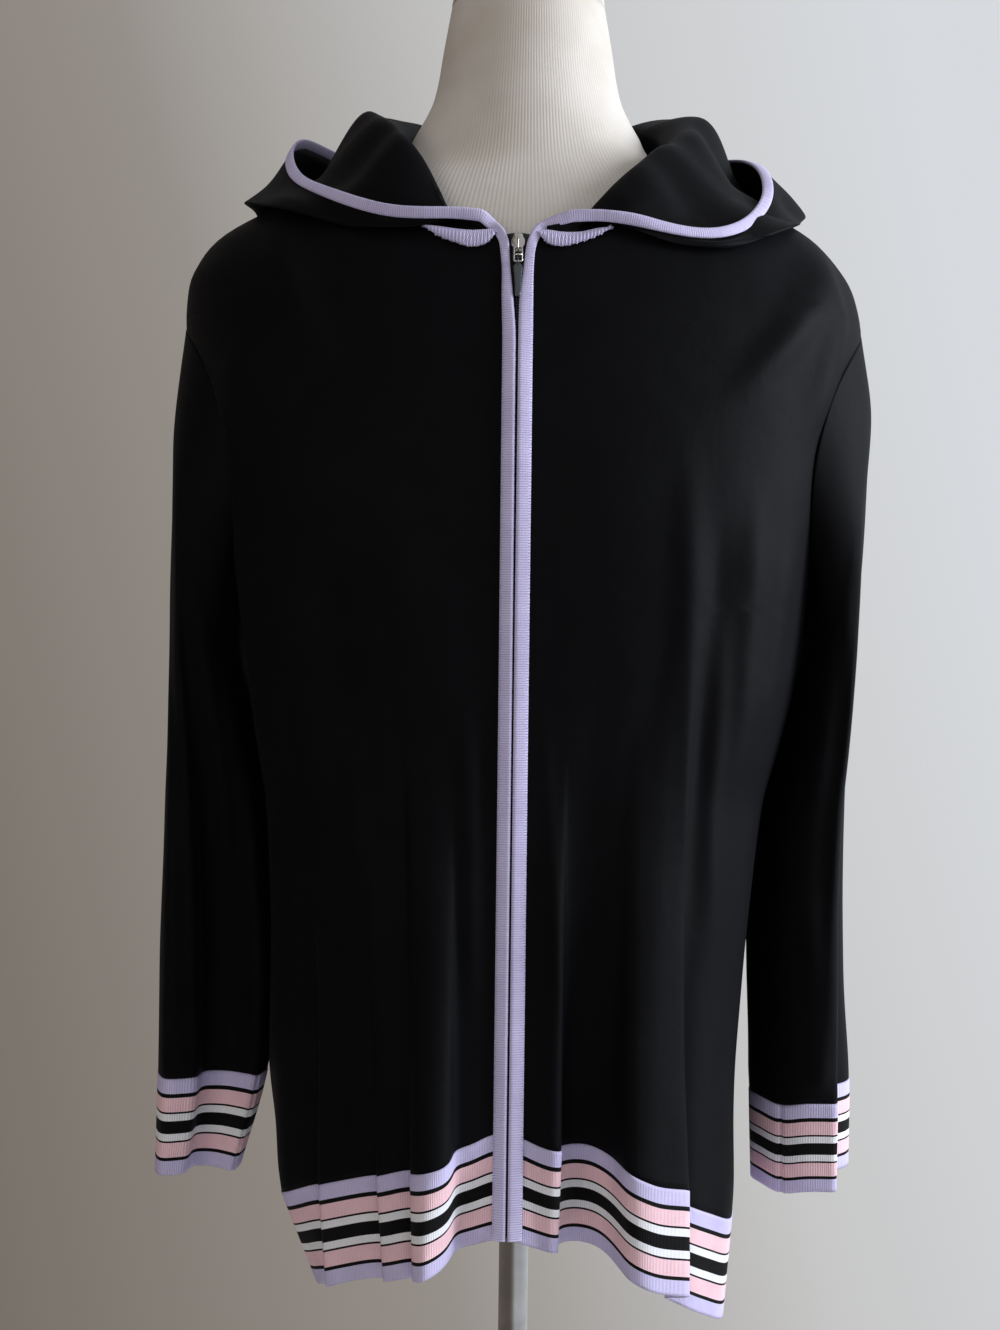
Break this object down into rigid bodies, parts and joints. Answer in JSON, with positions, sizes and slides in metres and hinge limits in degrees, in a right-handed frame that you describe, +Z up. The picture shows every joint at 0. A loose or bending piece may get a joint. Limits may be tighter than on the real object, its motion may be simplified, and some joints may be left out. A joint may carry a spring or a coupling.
{
  "type": "hooded cardigan on a dress form",
  "caption": "Long-sleeved knit cardigan with a zip front, a folded-down hood and striped hem and cuffs, worn by a limbless dress form on a round chrome stand.",
  "frame": {"origin": "on the floor at the centre of the stand's base, under the pole", "axes": "+Z up along the pole; the form faces -Y; +X is the wearer's left"},
  "size_m": [0.531, 0.3573, 1.5133],
  "materials": {
    "form_cover": "cream ribbed stretch cover",
    "stand": "polished",
    "knit": "fine black knit with a faint sheen",
    "striped_knit": "lavender, pink, white and black stripes",
    "trim": "lavender ribbed knit",
    "tape": "black woven tape",
    "slider": "bright nickel",
    "pull": "dark grey, glossy"
  },
  "bodies": {
    "garment_on_form": {"form_body": "form_cover", "form_neck_cap": "form_cover", "stand_base": "stand", "stand_pole": "stand", "stand_collar": "stand", "front_left": "knit", "front_right": "knit", "back": "knit", "sleeve_left": "knit", "sleeve_right": "knit", "hood_left": "knit", "hood_right": "knit", "hem_border_left": "striped_knit", "hem_border_right": "striped_knit", "hem_border_back": "striped_knit", "cuff_left": "striped_knit", "cuff_right": "striped_knit", "hood_trim": "trim", "front_band_left": "trim", "front_band_right": "trim", "neck_trim_left": "trim", "neck_trim_right": "trim", "zip_tape_left": "tape", "zip_tape_right": "tape", "zip_slider": "slider"},
    "pull_link": {"zip_pull_link": "slider"},
    "pull_tab": {"zip_pull_tab": "pull"}
  },
  "joints": [
    {"name": "pull_link_swing", "type": "hinge", "parent": "garment_on_form", "child": "pull_link", "pos_m": [-0.00499, -0.13388, 1.29353], "axis": [-1, 0, 0], "range_deg": [0, 120]},
    {"name": "pull_tab_swing", "type": "hinge", "parent": "pull_link", "child": "pull_tab", "pos_m": [-0.00499, -0.13738, 1.283], "axis": [-1, 0, 0], "range_deg": [0, 60]}
  ]
}
